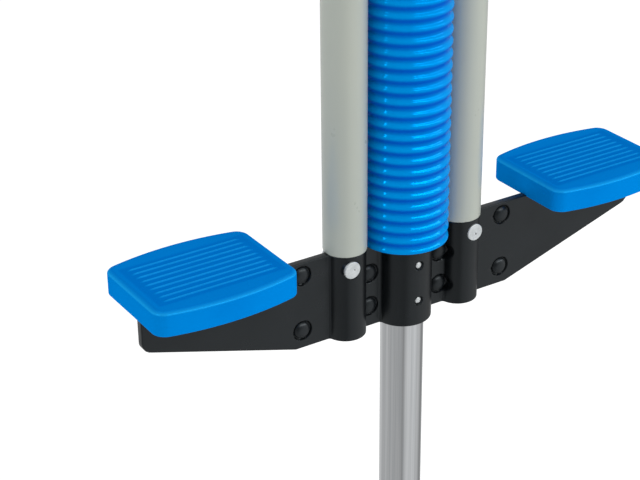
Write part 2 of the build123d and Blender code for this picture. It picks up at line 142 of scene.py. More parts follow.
def turned(profile, segments, centre=(0.0, 0.0, 0.0), axis="Z"):
    """Rings of a profile of (radius, height) pairs turned round an axis through centre."""
    a = np.linspace(0, 2 * math.pi, segments, endpoint=False)
    profile = np.asarray(profile, float)
    radius, height = profile[:, :1], profile[:, 1:]
    u, v, w = radius * np.cos(a), radius * np.sin(a), height + 0 * a
    order = {"Z": (u, v, w), "Y": (v, w, u), "X": (w, u, v)}[axis]
    return np.stack(order, -1) + np.array(centre)


def rounded(points, radii, steps=5):
    """A polyline whose corners are rounded; radii gives each inner point's radius."""
    points = [np.array(p, float) for p in points]
    out = [points[0]]
    for before, corner, after, radius in zip(points, points[1:], points[2:], radii):
        u, v = before - corner, after - corner
        lu, lv = np.linalg.norm(u), np.linalg.norm(v)
        u, v = u / lu, v / lv
        half = math.acos(max(-1.0, min(1.0, float(u @ v)))) / 2
        if radius <= 0 or half > math.pi / 2 - 1e-3:
            out.append(corner)
            continue
        reach = min(radius / math.tan(half), 0.49 * lu, 0.49 * lv)
        radius = reach * math.tan(half)
        middle = corner + (u + v) / np.linalg.norm(u + v) * (radius / math.sin(half))
        start, end = corner + u * reach - middle, corner + v * reach - middle
        a0, a1 = math.atan2(start[1], start[0]), math.atan2(end[1], end[0])
        turn = (a1 - a0 + math.pi) % (2 * math.pi) - math.pi
        for k in range(steps + 1):
            a = a0 + turn * k / steps
            out.append(middle + radius * np.array([math.cos(a), math.sin(a)]))
    out.append(points[-1])
    return np.array(out)


# ---------------------------------------------------------------- material helpers
class Paint:
    """A node material with noise-driven colour, roughness and bump."""

    def __init__(self, name, color, roughness, metallic=0.0, **sockets):
        self.material = bpy.data.materials.new(name)
        self.material.use_nodes = True
        self.nodes = self.material.node_tree.nodes
        self.links = self.material.node_tree.links
        self.bsdf = self.nodes["Principled BSDF"]
        self.bsdf.inputs["Base Color"].default_value = (*color, 1.0)
        self.bsdf.inputs["Roughness"].default_value = roughness
        self.bsdf.inputs["Metallic"].default_value = metallic
        for socket, value in sockets.items():
            self.bsdf.inputs[socket.replace("_", " ")].default_value = value
        self.place = self.nodes.new("ShaderNodeTexCoord").outputs["Object"]
        self.normal = None

    def put(self, kind, inputs=None, **values):
        node = self.nodes.new(kind)
        for key, value in values.items():
            setattr(node, key, value)
        for key, value in (inputs or {}).items():
            if isinstance(value, bpy.types.NodeSocket):
                self.links.new(value, node.inputs[key])
            else:
                node.inputs[key].default_value = value
        return node

    def noise(self, scale, detail, rough=0.5, stretch=(1, 1, 1)):
        """Noise with a scale per metre, stretched along the axes."""
        place = self.place
        if tuple(stretch) != (1, 1, 1):
            place = self.put("ShaderNodeMapping", {"Vector": place, "Scale": stretch}).outputs[0]
        node = self.put(
            "ShaderNodeTexNoise",
            {"Vector": place, "Scale": scale, "Detail": detail, "Roughness": rough},
        )
        return node.outputs["Fac"]

    def spread(self, value, low, high, to_low, to_high, smooth=False):
        """Value mapped from low..high to to_low..to_high."""
        node = self.put(
            "ShaderNodeMapRange",
            {"Value": value, "From Min": low, "From Max": high, "To Min": to_low, "To Max": to_high},
        )
        node.interpolation_type = "SMOOTHSTEP" if smooth else "LINEAR"
        return node.outputs["Result"]

    def uneven(self, scale, detail, to_low, to_high):
        """Noise mapped to a range that most of it fills."""
        return self.spread(self.noise(scale, detail), 0.3, 0.7, to_low, to_high)

    def math(self, operation, a, b=0.0):
        return self.put("ShaderNodeMath", {0: a, 1: b}, operation=operation).outputs[0]

    def height(self):
        """Height in the CAD frame, in metres."""
        return self.put("ShaderNodeSeparateXYZ", {0: self.place}).outputs["Z"]

    def facing(self):
        """How far the surface faces up, from -1 to 1."""
        normal = self.put("ShaderNodeTexCoord").outputs["Normal"]
        return self.put("ShaderNodeSeparateXYZ", {0: normal}).outputs["Z"]

    def mix(self, share, a, b):
        node = self.put("ShaderNodeMix", data_type="RGBA")
        for key, value in (("Factor", share), ("A", a), ("B", b)):
            socket = next(s for s in node.inputs if s.name == key and s.enabled)
            if isinstance(value, bpy.types.NodeSocket):
                self.links.new(value, socket)
            else:
                socket.default_value = value if key == "Factor" else (*value, 1.0)
        return next(s for s in node.outputs if s.enabled)

    def bump(self, height, distance, strength):
        inputs = {"Height": height, "Distance": distance, "Strength": strength}
        if self.normal is not None:
            inputs["Normal"] = self.normal
        self.normal = self.put("ShaderNodeBump", inputs).outputs["Normal"]
        self.links.new(self.normal, self.bsdf.inputs["Normal"])

    def set(self, socket, value):
        self.links.new(value, self.bsdf.inputs[socket])


def edge_share(paint):
    """How much a point lies on a raised edge, from 0 to 1."""
    point = paint.put("ShaderNodeNewGeometry").outputs["Pointiness"]
    return paint.spread(point, 0.52, 0.6, 0.0, 1.0, smooth=True)


def make_tube_paint():
    p = Paint("tube_enamel", (0.435, 0.47, 0.42), 0.30, Coat_Weight=0.5, Coat_Roughness=0.16)
    cloud = p.noise(9.0, 3.0)
    streak = p.noise(160.0, 2.0, stretch=(1, 1, 0.04))
    tone = p.math("ADD", p.math("MULTIPLY", cloud, 0.6), p.math("MULTIPLY", streak, 0.4))
    base = p.mix(p.spread(tone, 0.35, 0.65, 0, 1), (0.420, 0.458, 0.412), (0.450, 0.480, 0.424))
    scuff = p.spread(p.noise(45.0, 5.0, 0.7, stretch=(1, 1, 0.3)), 0.66, 0.74, 0.0, 0.35, smooth=True)
    p.set("Base Color", p.mix(scuff, base, (0.36, 0.37, 0.36)))
    p.set("Roughness", p.uneven(60.0, 4.0, 0.27, 0.36))
    p.bump(p.noise(700.0, 2.0), 0.00004, 0.30)
    p.bump(streak, 0.00012, 0.08)
    return p.material


def make_black_paint(name="black_powder_coat", rough=(0.27, 0.36), lift=1.0):
    dark, pale = (0.0022, 0.0032, 0.0042), (0.0042, 0.0054, 0.0066)
    p = Paint(name, dark, rough[0], IOR=1.52, Specular_Tint=(0.86, 0.95, 1.0, 1.0))
    dark, pale = [tuple(lift * c for c in tone) for tone in (dark, pale)]
    base = p.mix(p.uneven(35.0, 4.0, 0, 1), dark, pale)
    # raised edges are painted paler: partly worn paint, partly a painted highlight along the rims
    wear_and_edge_sheen = p.math("MULTIPLY", edge_share(p), p.spread(p.noise(120.0, 3.0), 0.35, 0.65, 0.35, 1.0))
    p.set("Base Color", p.mix(wear_and_edge_sheen, base, (0.036, 0.038, 0.041)))
    p.set("Roughness", p.uneven(90.0, 5.0, *rough))
    p.bump(p.noise(1500.0, 2.0), 0.00003, 0.30)
    p.bump(p.noise(180.0, 2.0), 0.00010, 0.10)
    return p.material


def make_zinc(name="zinc_rivet", dark_specks=True):
    p = Paint(name, (0.72, 0.75, 0.76), 0.42, metallic=0.6)
    patch = p.spread(p.noise(420.0, 4.0, 0.6), 0.35, 0.65, 0, 1)
    base = p.mix(patch, (0.66, 0.70, 0.71), (0.82, 0.86, 0.87))
    if dark_specks:
        speck = p.spread(p.noise(620.0, 1.0, 0.4), 0.70, 0.76, 0.0, 1.0, smooth=True)
        base = p.mix(speck, base, (0.10, 0.10, 0.11))
        p.bump(speck, -0.0002, 0.8)
    p.set("Base Color", base)
    p.set("Roughness", p.uneven(300.0, 3.0, 0.36, 0.52))
    p.bump(p.noise(900.0, 3.0), 0.00006, 0.4)
    return p.material


def make_chrome():
    p = Paint("chrome_shaft", (0.78, 0.80, 0.82), 0.13, metallic=1.0)
    drawn = p.noise(900.0, 3.0, 0.6, stretch=(1, 1, 0.012))
    haze = p.noise(14.0, 3.0, stretch=(1, 1, 0.35))
    tint = p.spread(drawn, 0.35, 0.65, 0, 1)
    p.set("Base Color", p.mix(tint, (0.72, 0.745, 0.765), (0.82, 0.835, 0.85)))
    tone = p.math("ADD", p.math("MULTIPLY", drawn, 0.5), p.math("MULTIPLY", haze, 0.5))
    p.set("Roughness", p.spread(tone, 0.35, 0.65, 0.06, 0.13))
    p.bump(drawn, 0.00002, 0.25)
    return p.material


def make_spring_steel():
    p = Paint("spring_steel", (0.30, 0.30, 0.31), 0.35, metallic=1.0)
    patch = p.spread(p.noise(70.0, 4.0), 0.35, 0.7, 0, 1)
    p.set("Base Color", p.mix(patch, (0.22, 0.22, 0.23), (0.40, 0.39, 0.38)))
    p.set("Roughness", p.uneven(220.0, 3.0, 0.28, 0.5))
    p.bump(p.noise(1200.0, 2.0), 0.00003, 0.4)
    return p.material


# a small metallic share gives the blue plastics their deep, blue-tinted gloss
BLUE_GLOSS, BLUE_TINT = 0.10, (0.0, 0.55, 1.0)


def blue_paint(name, deep, light, rough, plain_gloss, grain):
    """Glossy blue plastic with slightly cloudy colour and uneven gloss; its colour is still to be set."""
    p = Paint(name, light, rough[0], metallic=BLUE_GLOSS, Specular_Tint=(*BLUE_TINT, 1.0),
              Specular_IOR_Level=plain_gloss)
    p.tone = p.mix(p.spread(p.noise(22.0, 4.0, 0.55), 0.3, 0.7, 0, 1), deep, light)
    p.set("Roughness", p.uneven(75.0, 4.0, *rough))
    p.bump(p.noise(1400.0, 2.0), 0.00002, grain)
    return p


def make_pedal_plastic(top, tread, dish):
    p = blue_paint("blue_pedal", (0.0, 0.215, 0.69), (0.0, 0.245, 0.74), (0.20, 0.28), 0.0, 0.2)
    # painted light by facing: the top is painted deeper in colour than the walls, and the rounded edges are
    # painted palest as a painted highlight
    facing = p.facing()
    base = p.mix(p.spread(facing, 0.55, 0.98, 0.0, 1.0, smooth=True), p.tone, (0.0, 0.235, 0.76))
    rising = p.spread(facing, 0.05, 0.60, 0.0, 1.0, smooth=True)
    edge = p.math("MULTIPLY", rising, p.spread(facing, 0.74, 0.999, 0.75, 0.0))
    # painted shade: the field between the tread ribs is painted deeper in colour; the ribs are painted pale,
    # partly rubbed wear and partly a painted highlight
    height = p.height()
    field = top - dish
    in_dish = p.spread(height, field * MM, (top - 0.1 * dish) * MM, 1.0, 0.0, smooth=True)
    sunk = p.math("MULTIPLY", in_dish, p.spread(facing, 0.93, 0.995, 0.0, 1.0))
    base = p.mix(sunk, base, (0.0, 0.200, 0.70))
    rubbed_and_highlit = p.spread(
        height, (field + 0.3 * tread) * MM, (field + 1.1 * tread) * MM, 0.0, 0.8, smooth=True
    )
    # one pale colour for the painted edge highlight and for the ribs' wear and painted highlight
    p.set("Base Color", p.mix(p.math("MAXIMUM", rubbed_and_highlit, edge), base, (0.012, 0.40, 0.93)))
    return p.material


def make_sleeve_plastic(bottom, pitch):
    p = blue_paint("blue_sleeve_plastic", (0.0, 0.31, 0.83), (0.0, 0.34, 0.88), (0.11, 0.16), 0.04, 0.03)
    # painted shade: the ribs' undersides and the grooves are painted darker than their upward-facing
    # shoulders
    base = p.mix(p.spread(p.facing(), -0.55, 0.5, 0.0, 1.0, smooth=True), (0.0, 0.11, 0.55), p.tone)
    # painted shade in the grooves, by the height within each rib
    turns = p.math("MULTIPLY", p.math("SUBTRACT", p.height(), bottom * MM), math.pi / (pitch * MM))
    groove = p.spread(p.math("ABSOLUTE", p.math("COSINE", turns)), 0.05, 0.75, 1.0, 0.0, smooth=True)
    groove = p.math("MULTIPLY", groove, p.uneven(60.0, 3.0, 0.4, 0.6))
    p.set("Base Color", p.mix(groove, base, (0.0, 0.135, 0.60)))
    return p.material


def make_plain(name, low, high, rough, grain, depth, scale=60.0):
    """Nylon, rubber and plastic: two close tones, uneven roughness and a fine grain."""
    p = Paint(name, low, rough[0])
    p.set("Base Color", p.mix(p.uneven(scale, 4.0, 0, 1), low, high))
    p.set("Roughness", p.uneven(2 * scale, 3.0, *rough))
    p.bump(p.noise(grain, 3.0, 0.6), depth, 0.6)
    return p.material


def make_foam():
    p = Paint("foam_grip", (0.016, 0.016, 0.018), 0.85, Sheen_Weight=0.25, Sheen_Roughness=0.5)
    cells = p.put("ShaderNodeTexVoronoi", {"Vector": p.place, "Scale": 1100.0}).outputs["Distance"]
    share = p.spread(cells, 0.1, 0.6, 0, 1)
    p.set("Base Color", p.mix(share, (0.009, 0.009, 0.010), (0.030, 0.030, 0.032)))
    p.set("Roughness", p.uneven(40.0, 3.0, 0.78, 0.92))
    p.bump(cells, 0.00035, 0.7)
    p.bump(p.noise(120.0, 3.0), 0.0005, 0.25)
    return p.material


SLEEVE_PITCH = 6.1
TREAD_HEIGHT, DISH = 0.5, 0.2  # the ribs on a pedal, and the depth of the field they stand in
tube_paint = make_tube_paint()
black_paint = make_black_paint()
black_rivet = make_black_paint("black_rivet_coat", (0.34, 0.44), 1.6)
zinc = make_zinc()
zinc_plain = make_zinc("zinc_screw", dark_specks=False)
chrome = make_chrome()
spring_steel = make_spring_steel()
blue_plastic = make_pedal_plastic(box_mm("left_pedal")[1].z, TREAD_HEIGHT, DISH)
blue_sleeve = make_sleeve_plastic(box_mm("spring_sleeve")[0].z, SLEEVE_PITCH)
nylon = make_plain("nylon_bush", (0.55, 0.54, 0.50), (0.64, 0.63, 0.59), (0.42, 0.55), 900.0, 0.00004)
black_plastic = make_plain(
    "black_plastic", (0.012, 0.012, 0.013), (0.022, 0.022, 0.023), (0.38, 0.5), 1200.0, 0.00004
)
rubber = make_plain(
    "black_rubber", (0.014, 0.014, 0.014), (0.030, 0.029, 0.028), (0.62, 0.8), 700.0, 0.00010
)
foam = make_foam()


# ---------------------------------------------------------------- pressed brackets
RIM, RIM_STEPS = 0.45, 4  # radius of the sheet's rounded edge, and its steps
FEATURE_MARGIN = 1.6  # how far round a feature the plate's columns stay fine


def plate_path(bulges, end, sheet, fillet, fine, coarse, features):
    """Outer face of a pressed plate seen from above, left to right: x, y, and the outward normal.

    Features are (x, z, radius, width of the slope round it, depth, "seat" or "sink").
    """
    points = []

    def line(x0, x1):
        x = x0
        while x < x1 - 1e-6:
            points.append((x, -sheet, 0.0, -1.0))
            near = any(abs(x - f[0]) < f[2] + FEATURE_MARGIN for f in features)
            x += fine if near else coarse

    def arc(cx, cy, radius, a0, a1, inward):
        steps = max(3, int(round(abs(a1 - a0) * radius / fine)))
        for k in range(steps):
            a = a0 + (a1 - a0) * k / steps
            n = -1.0 if inward else 1.0
            u, v = math.cos(a), math.sin(a)
            points.append((cx + radius * u, cy + radius * v, n * u, n * v))

    at = -end
    for centre, radius in bulges:
        reach = math.sqrt((radius + fillet) ** 2 - (sheet + fillet) ** 2)
        lean = math.atan2(sheet + fillet, reach)
        line(at, centre - reach)
        arc(centre - reach, -sheet - fillet, fillet, math.pi / 2, lean, True)
        arc(centre, 0.0, radius, math.pi + lean, 2 * math.pi - lean, False)
        arc(centre + reach, -sheet - fillet, fillet, math.pi - lean, math.pi / 2, True)
        at = centre + reach
    line(at, end)
    points.append((end, -sheet, 0.0, -1.0))
    path = np.array(points)
    # columns for the rounded end edges
    rim = RIM * (1 - np.cos(np.linspace(0, math.pi / 2, RIM_STEPS + 1)))[:-1]
    inner = path[(path[:, 0] > -end + RIM) & (path[:, 0] < end - RIM)]
    left = np.array([(-end + e, -sheet, 0, -1) for e in rim] + [(-end + RIM, -sheet, 0, -1)])
    right = np.array([(end - e, -sheet, 0, -1) for e in rim] + [(end - RIM, -sheet, 0, -1)])[::-1]
    return np.concatenate([left, inner, right])


def press_plate(path, low, high, sheet, fine, features, end):
    """A pressed plate: the outer face with its rounded rim, the inner face, and the rim between."""
    x, y, nx, ny = path.T
    columns = len(path)
    rim = RIM * (1 - np.cos(np.linspace(0, math.pi / 2, RIM_STEPS + 1)))
    height = high - low
    rows_mid = np.linspace(RIM, float(height.max()) - RIM, int((height.max() - 2 * RIM) / fine) + 1)
    share = (rows_mid - RIM) / (height.max() - 2 * RIM)
    z = np.concatenate(
        [
            low[None, :] + rim[:-1, None],
            (low + RIM)[None, :] + share[:, None] * (height - 2 * RIM)[None, :],
            (high[None, :] - rim[:-1, None])[::-1],
        ]
    )
    to_edge = np.minimum(z - low, high - z)
    to_end = np.broadcast_to(end - np.abs(x), z.shape)

    def sunk(distance):
        d = np.clip(RIM - distance, 0, RIM)
        return RIM - np.sqrt(np.maximum(RIM**2 - d**2, 0.0))

    px = np.broadcast_to(x, z.shape).copy()
    py = np.broadcast_to(y, z.shape).copy()
    for fx, fz, radius, wall, seat, kind in features:
        rho = np.hypot(px - fx, z - fz)
        w = 1.0 - smooth_step(radius, radius + wall, rho)
        if kind == "sink":
            py = py + w * seat
        else:
            py = py + w * (-seat - py)
    drop = np.minimum(sunk(to_edge) + sunk(to_end), RIM)
    px = px - drop * nx
    py = py - drop * ny
    rows = z.shape[0]
    shape = Shape()
    outer = np.stack([px, py, z], -1).reshape(-1, 3)
    faces = lattice(rows, columns)
    ix, iy = x - sheet * nx, y - sheet * ny
    inner = np.concatenate([np.stack([ix, iy, low], -1), np.stack([ix, iy, high], -1)])
    first = rows * columns
    top = (rows - 1) * columns
    for c in range(columns - 1):
        faces.append([first + c + 1, first + c, first + columns + c, first + columns + c + 1])
        faces.append([c, first + c, first + c + 1, c + 1])
        faces.append([top + c + 1, first + columns + c + 1, first + columns + c, top + c])
    left = [r * columns for r in range(rows)]
    right = [r * columns + columns - 1 for r in range(rows)]
    faces.append(left + [first + columns, first])
    faces.append(right[::-1] + [first + columns - 1, first + 2 * columns - 1])
    shape.add(np.concatenate([outer, inner]), faces)
    return shape


def mirrored(shape):
    other = Shape()
    points = np.array(shape.points) * np.array([1, -1, 1])
    other.add(points, [face[::-1] for face in shape.faces])
    return other


plate_low, plate_high = box_mm("lower_bracket_front")
sleeve_low, sleeve_high = box_mm("spring_sleeve")
SHEET, SNUG = 2.1, 0.02  # thickness of the pressed steel, and the gap in a clamped fit
FINE, COARSE = 0.36, 1.6  # spacing of a plate's columns round its features and elsewhere
bracket_top, bracket_bottom = plate_high.z, plate_low.z
wing_end = plate_high.x
tube_x = 35.0
tube_radius = 11.1
neck_radius = 8.5
clamp_radius = neck_radius + SNUG + SHEET
collar_radius = 15.0
saddle_half = 23.6
saddle_z = sleeve_low.z
wing_corner, wing_end_height, wing_tip_radius = 65.4, 21.5, 5.5
dome_radius = 4.6
DIMPLE_SEAT = SHEET - 1.2  # distance of the dished rivet seats from the middle plane
land_x, land_drops = 21.6, (17.2, 35.8)
wing_x, wing_drops = 61.5, (6.9, 37.4)
dome_places = [
    (side * rx, bracket_top - drop)
    for rx, drops in ((land_x, land_drops), (wing_x, wing_drops))
    for drop in drops
    for side in (-1, 1)
]
flat_places = [(side * (tube_x + 2.5), bracket_top - 7.0) for side in (-1, 1)]
pin_places = [(0.0, bracket_top - drop) for drop in (13.7, 33.6)]
FLAT_SEAT, FLAT_WELL = 10.0, 4.25  # a flat rivet's seat, and the radius of the flat round it
PIN_WELL = (2.15, 0.35, 1.5, "sink")
features = (
    [(fx, fz, FLAT_WELL, 0.9, FLAT_SEAT, "seat") for fx, fz in flat_places]
    + [(fx, fz, dome_radius + 0.4, 0.5, DIMPLE_SEAT, "seat") for fx, fz in dome_places]
    + [(fx, fz, *PIN_WELL) for fx, fz in pin_places]
)
path = plate_path(
    [(-tube_x, clamp_radius), (0.0, collar_radius), (tube_x, clamp_radius)],
    wing_end, SHEET, 1.6, FINE, COARSE, features,
)
ax = np.abs(path[:, 0])
slope = (bracket_top - wing_end_height - bracket_bottom) / (wing_end - wing_corner)
line_z = bracket_bottom + np.maximum(ax - wing_corner, 0) * slope
# the wing's lower corner: an arc tangent to the slanted edge and to the end edge
turn = math.pi / 2 - math.atan(slope)
arc_x = wing_end - wing_tip_radius
line_at = bracket_bottom + (arc_x - wing_corner) * slope
arc_z = line_at + wing_tip_radius / math.cos(math.atan(slope))
arc = arc_z - np.sqrt(np.maximum(wing_tip_radius**2 - (ax - arc_x) ** 2, 0.0))
touch = arc_x + wing_tip_radius * math.sin(math.atan(slope))
low_edge = np.where(ax > touch, arc, line_z)
# the saddle that the sleeve stands in
step = smooth_step(saddle_half - 0.7, saddle_half + 0.5, ax)
high_edge = saddle_z + (bracket_top - saddle_z) * step
plate_shape = press_plate(path, low_edge, high_edge, SHEET, FINE, features, wing_end)


def flange(shape, side):
    """The strip of the top edge that is bent out under a pedal, with a rounded bend and free edge."""
    x0, x1, free_y = 86.0, 144.0, -SHEET - 15.0
    profile = rounded(
        [
            (-SHEET + 0.6, bracket_top - 2.6 * SHEET),
            (-SHEET, bracket_top - 2.4 * SHEET),
            (-SHEET, bracket_top - SHEET),
            (free_y, bracket_top - SHEET),
            (free_y, bracket_top),
            (-0.6, bracket_top),
            (-0.6, bracket_top - 2.0 * SHEET),
        ],
        [0.0, SHEET, 0.5, 0.5, 0.4],
    )
    corner_cut = 1.2
    rings = []
    stations = ((x0, 1.0), (x0 + 0.3, 0.3), (x0 + 1.0, 0.0), (x1 - 1.0, 0.0), (x1 - 0.3, 0.3), (x1, 1.0))
    for x, shrink in stations:
        ring = profile.copy()
        ring[:, 0] += shrink * corner_cut * smooth_step(free_y + 4.0, free_y, ring[:, 0])
        rings.append(np.stack([np.full(len(ring), side * x), ring[:, 0], ring[:, 1]], -1))
    shape.add_rings(rings)


def build_plates(level, front_shape):
    """The front plate of a bracket, and the rear plate, which mirrors it."""
    for shape, face in ((front_shape, "front"), (mirrored(front_shape), "rear")):
        shape.build(
            f"{level}_plate_{face}", FRAME_BODY, black_paint, "black_paint", [f"{level}_bracket_{face}"]
        )


for side in (-1, 1):
    flange(plate_shape, side)
build_plates("lower", plate_shape)

upper_low, upper_high = box_mm("upper_bracket_front")
upper_clamp = tube_radius + SNUG + SHEET
upper_end = upper_high.x
upper_mid = (upper_low.z + upper_high.z) / 2
UPPER_DROPS = (8.5, 25.5)
upper_domes = [
    (side * rx, upper_high.z - drop) for rx in (18.5, 53.4) for drop in UPPER_DROPS for side in (-1, 1)
]
upper_flats = [(side * tube_x, upper_mid) for side in (-1, 1)]
upper_pins = [(0.0, upper_high.z - drop) for drop in UPPER_DROPS]
UPPER_FLAT_SEAT, UPPER_FINE = 12.4, 0.45
upper_features = [(fx, fz, FLAT_WELL, 0.8, UPPER_FLAT_SEAT, "seat") for fx, fz in upper_flats] + [
    (fx, fz, *PIN_WELL) for fx, fz in upper_pins
]
upper_path = plate_path(
    [(-tube_x, upper_clamp), (0.0, collar_radius), (tube_x, upper_clamp)],
    upper_end, SHEET, 1.0, UPPER_FINE, COARSE, upper_features,
)
upper_shape = press_plate(
    upper_path,
    np.full(len(upper_path), upper_low.z),
    np.full(len(upper_path), upper_high.z),
    SHEET, UPPER_FINE, upper_features, upper_end,
)
build_plates("upper", upper_shape)


# ---------------------------------------------------------------- rivets and pins
HEAD_SINK = 0.3  # how far a head reaches below its seat


def dome_profile(radius, height, seat):
    """A low rivet head: a soft shoulder and a shallow crown, closed at the seat."""
    t = np.linspace(0, 1, 15)
    r = radius * np.sin(t * math.pi / 2)
    z = height * (1 - (r / radius) ** 2.7) ** 0.62
    crown = [(max(a, AXIS_RADIUS), seat + b) for a, b in zip(r, z)]
    return crown + [(radius, seat - HEAD_SINK), (AXIS_RADIUS, seat - HEAD_SINK)]


def flat_profile(radius, height, seat):
    """A flat rivet head, very slightly dished, with a rounded rim."""
    top, base = seat + height, seat - HEAD_SINK
    head = rounded(
        [(AXIS_RADIUS, seat + height * 0.96), (radius * 0.8, top), (radius, top), (radius, seat),
         (radius, base)],
        [2.0, 0.42, 0.0],
    )
    return head.tolist() + [(AXIS_RADIUS, base)]


def head_group(name, places, profile, material, slot, node, segments):
    """The same head on both sides of the middle plane at each place."""
    shape = Shape()
    for x, z in places:
        for side in (-1, 1):
            rings = turned(profile, segments, axis="Y")
            rings = rings * np.array([1, side, 1]) + np.array([x, 0, z])
            shape.add_rings(rings)
    return shape.build(name, FRAME_BODY, material, slot, [node])


pin_head = dome_profile(1.75, 0.6, collar_radius - 1.3)
for name, places, profile, material, slot, node, segments in (
    ("lower_dome_rivets", dome_places, dome_profile(dome_radius, 2.4, DIMPLE_SEAT),
     black_rivet, "black_rivet", "lower_bracket_rivets", 40),
    ("upper_dome_rivets", upper_domes, dome_profile(2.7, 1.7, SHEET),
     black_rivet, "black_rivet", "upper_bracket_rivets", 32),
    ("lower_flat_rivets", flat_places, flat_profile(4.5, 1.0, FLAT_SEAT),
     zinc, "zinc", "lower_tube_rivets", 56),
    ("upper_flat_rivets", upper_flats, flat_profile(4.2, 1.0, UPPER_FLAT_SEAT),
     zinc, "zinc", "upper_tube_rivets", 56),
    ("lower_pin_heads", pin_places, pin_head, zinc_plain, "zinc", "lower_bush_pins", 24),
    ("upper_pin_heads", upper_pins, pin_head, zinc_plain, "zinc", "upper_bush_pins", 24),
):
    head_group(name, places, profile, material, slot, node, segments)


# ---------------------------------------------------------------- side tubes
def tube_rings(stations, segments):
    """Rings round a path in the XZ plane; a station is (x, z, angle of travel, radius)."""
    a = np.linspace(0, 2 * math.pi, segments, endpoint=False)
    rings = []
    for x, z, angle, radius in stations:
        n = np.array([-math.sin(angle), 0.0, math.cos(angle)])
        ring = np.array([x, 0, z]) + radius * (
            np.cos(a)[:, None] * n + np.sin(a)[:, None] * np.array([0.0, 1.0, 0.0])
        )
        rings.append(ring)
    return rings


bar_height = (box_mm("left_grip")[0].z + box_mm("left_grip")[1].z) / 2
bend, bend_steps, tube_wall = 38.0, 24, 1.3
up = math.pi / 2
for side, name in SIDES:
    x = side * tube_x
    end_x = side * 170.0
    neck_bore, shoulder_z = neck_radius - tube_wall, bracket_top - SNUG
    edge = rounded(
        [(neck_bore, bracket_bottom + 8), (neck_bore, bracket_bottom), (neck_radius, bracket_bottom),
         (neck_radius, shoulder_z), (tube_radius, shoulder_z), (tube_radius, bracket_top + 8)],
        [0.3, 0.3, 0.5, 0.9],
    )
    stations = [(x, z, up, r) for r, z in edge]
    stations += [(x, z, up, tube_radius) for z in np.linspace(bracket_top + 20, bar_height - bend, 24)]
    for k in range(1, bend_steps + 1):
        t = k / bend_steps * math.pi / 2
        bend_x, bend_z = x + side * bend * (1 - math.cos(t)), bar_height - bend + bend * math.sin(t)
        stations.append((bend_x, bend_z, up - side * t, tube_radius))
    flat = 0.0 if side > 0 else math.pi
    for along in np.linspace(x + side * (bend + 6), end_x - side * 0.6, 8):
        stations.append((along, bar_height, flat, tube_radius))
    tube_bore = tube_radius - tube_wall
    stations += [(end_x, bar_height, flat, tube_radius - 0.5), (end_x, bar_height, flat, tube_bore),
                 (end_x - side * 8, bar_height, flat, tube_bore)]
    tube = Shape()
    tube.add_rings(tube_rings(stations, 112))
    tube.build(f"{name}_tube", FRAME_BODY, tube_paint, "tube_paint", [f"{name}_side_tube"])


# ---------------------------------------------------------------- spring sleeve
RIB_STEPS = 16
sleeve_radius, sleeve_bore = sleeve_high.x, 20.2
GROOVE, RIB_FLAT = 1.25, 0.04  # depth of a groove, and the flat share of a rib
count = int(round((sleeve_high.z - sleeve_low.z) / SLEEVE_PITCH))
profile = []
for rib in range(count):
    for k in range(RIB_STEPS):
        # the sleeve starts and ends on a crest
        t = (k / RIB_STEPS + 0.5) % 1.0
        climb = min(max((1 - abs(2 * t - 1) - RIB_FLAT) / (1 - 2 * RIB_FLAT), 0.0), 1.0)
        swell = (1 - math.cos(math.pi * climb)) / 2
        z = sleeve_low.z + (rib + k / RIB_STEPS) * SLEEVE_PITCH
        profile.append((sleeve_radius - GROOVE * (1 - swell), z))
profile.append((sleeve_radius, sleeve_high.z))
profile += [(sleeve_bore, sleeve_high.z), (sleeve_bore, sleeve_low.z)]
sleeve = Shape()
sleeve.add_rings(turned(profile, 132), closed=True)
sleeve.build("sleeve", FRAME_BODY, blue_sleeve, "blue_sleeve", ["spring_sleeve"], sharp=70)


# ---------------------------------------------------------------- pedals
SCREW_REACH, SCREW_Y = 14.0, 9.5  # the screws' distances from the middle of a pedal


